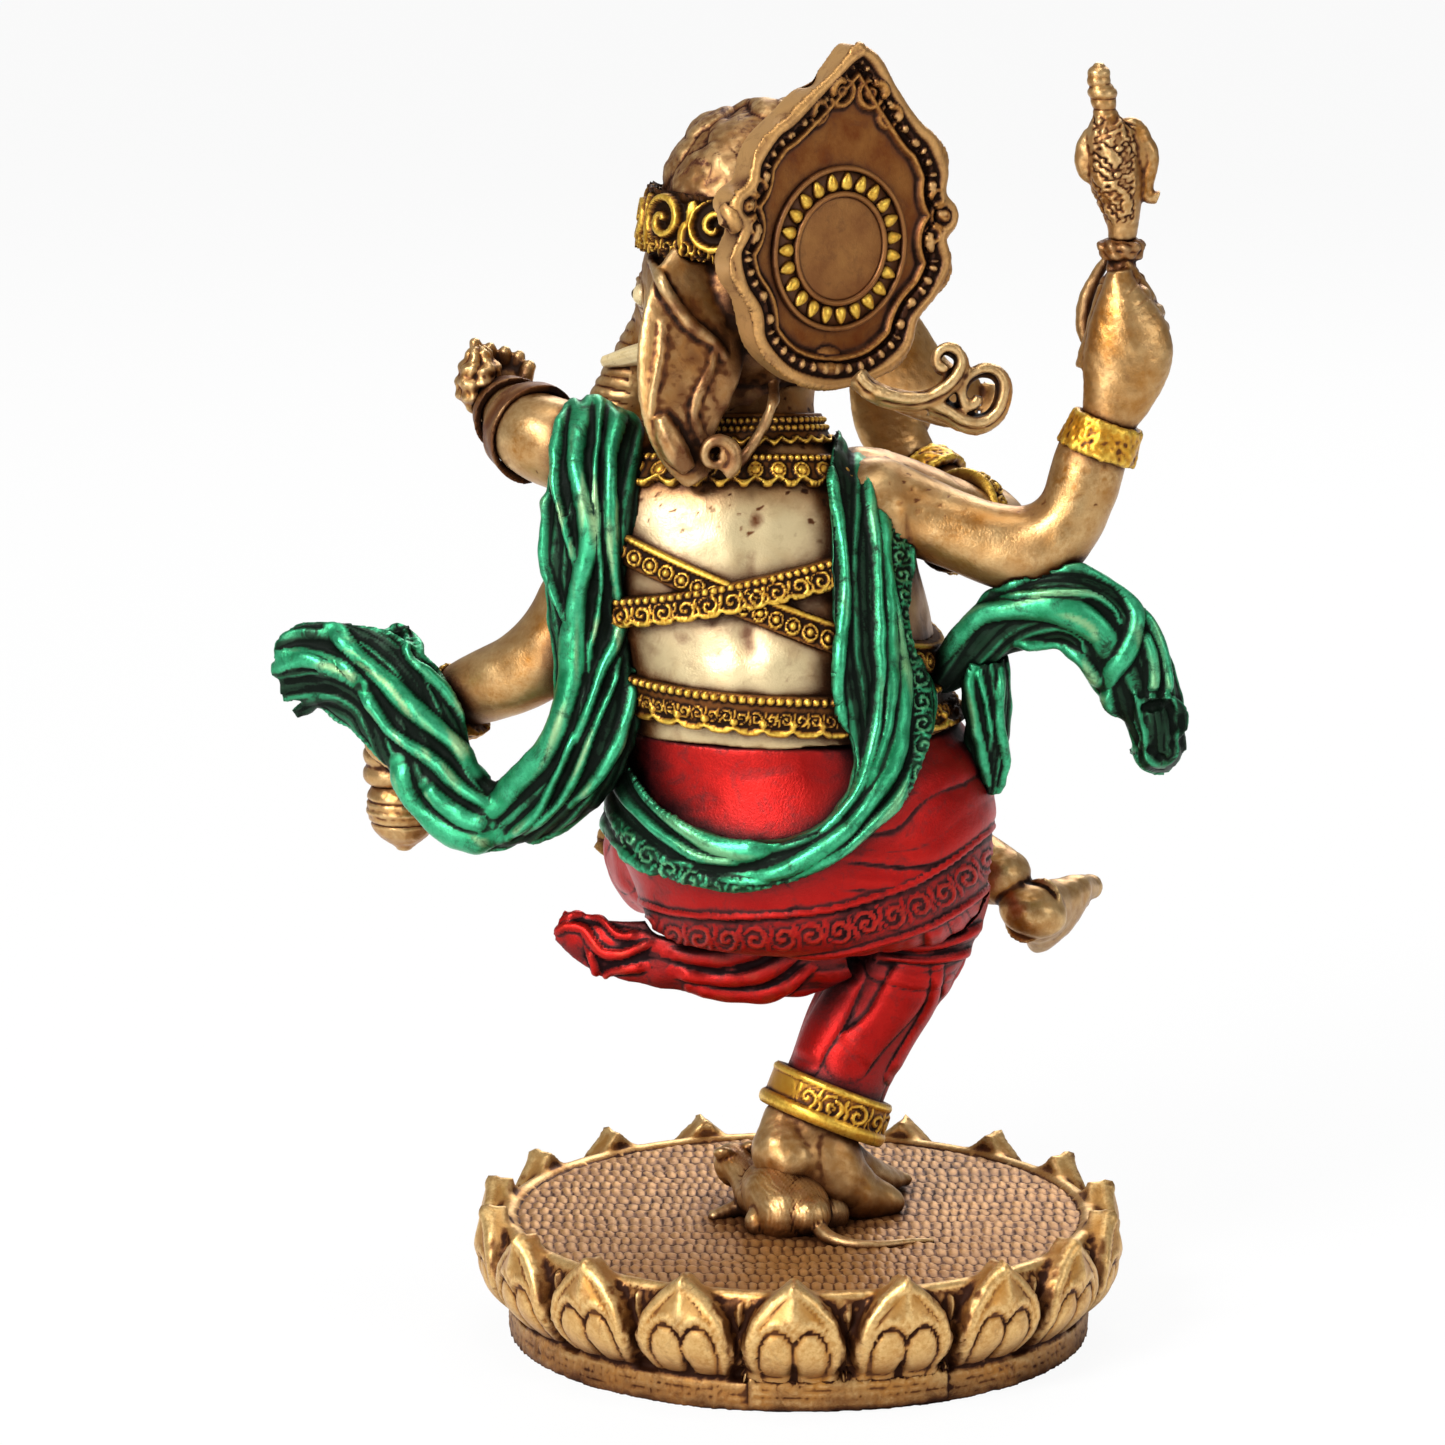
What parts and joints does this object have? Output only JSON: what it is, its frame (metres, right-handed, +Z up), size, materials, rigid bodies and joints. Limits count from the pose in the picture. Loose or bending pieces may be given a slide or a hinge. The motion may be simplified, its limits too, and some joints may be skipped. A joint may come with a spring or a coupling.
{
  "type": "ganesha idol",
  "caption": "Table-top resin figure of dancing Ganesha poised above a mouse on a round lotus base, with goad, sweet pot, crown plate and flying scarf.",
  "frame": {"origin": "middle of the base's underside, on the plane it rests on", "axes": "+Z up, +Y the way the chest faces, -Y the back, +X the figure's right hand side with the goad"},
  "size_m": [0.2027, 0.1438, 0.2946],
  "materials": {
    "antique_gold_resin": "satin metallic antique-gold paint over resin, dark wash in the recesses",
    "bright_gold_resin": "pale gold paint on the bare body, brown wash",
    "ornament_gold": "saturated yellow-gold paint on ornaments, dark wash",
    "red_cloth_paint": "metallic red paint with dark wash and gold dry-brushing",
    "green_scarf_paint": "metallic emerald paint with black wash and gold dry-brushed edges",
    "bronze_base_paint": "brown-gold bronze paint on the base",
    "tusk_paint": "pale ivory-gold paint",
    "steel": "plain steel",
    "felt": "black felt"
  },
  "bodies": {
    "root": {"armature_rod": "steel", "chest_strap": "ornament_gold", "collar": "ornament_gold", "cross_strap": "ornament_gold", "crown": "antique_gold_resin", "crown_band": "ornament_gold", "crown_plate": "antique_gold_resin", "dhoti": "red_cloth_paint", "dhoti_tail": "red_cloth_paint", "felt_pad": "felt", "front_left_arm": "antique_gold_resin", "front_left_bangle": "ornament_gold", "front_left_hand": "antique_gold_resin", "front_right_arm": "antique_gold_resin", "front_right_armlet": "ornament_gold", "front_right_bangle": "ornament_gold", "front_right_hand": "antique_gold_resin", "front_sash": "red_cloth_paint", "goad_handle": "antique_gold_resin", "goad_head": "antique_gold_resin", "goad_pin": "steel", "head": "antique_gold_resin", "left_ear": "antique_gold_resin", "left_tusk": "tusk_paint", "lotus_base": "bronze_base_paint", "lotus_bud": "antique_gold_resin", "mouse_body": "antique_gold_resin", "mouse_tail": "antique_gold_resin", "necklace": "ornament_gold", "plate_medallion": "antique_gold_resin", "raised_anklet": "ornament_gold", "raised_foot": "antique_gold_resin", "raised_leg": "red_cloth_paint", "rear_left_arm": "antique_gold_resin", "rear_left_armlet": "ornament_gold", "rear_left_bangle": "ornament_gold", "rear_left_hand": "antique_gold_resin", "rear_right_arm": "antique_gold_resin", "rear_right_bangle": "ornament_gold", "rear_right_hand": "antique_gold_resin", "right_ear": "antique_gold_resin", "right_tusk": "tusk_paint", "scarf_back": "green_scarf_paint", "scarf_left": "green_scarf_paint", "scarf_right_drape": "green_scarf_paint", "scarf_right_hang": "green_scarf_paint", "standing_anklet": "ornament_gold", "standing_foot": "antique_gold_resin", "standing_leg": "red_cloth_paint", "sweet_pot": "antique_gold_resin", "torso": "bright_gold_resin", "trunk": "antique_gold_resin", "waist_belt": "ornament_gold"}
  },
  "joints": []
}
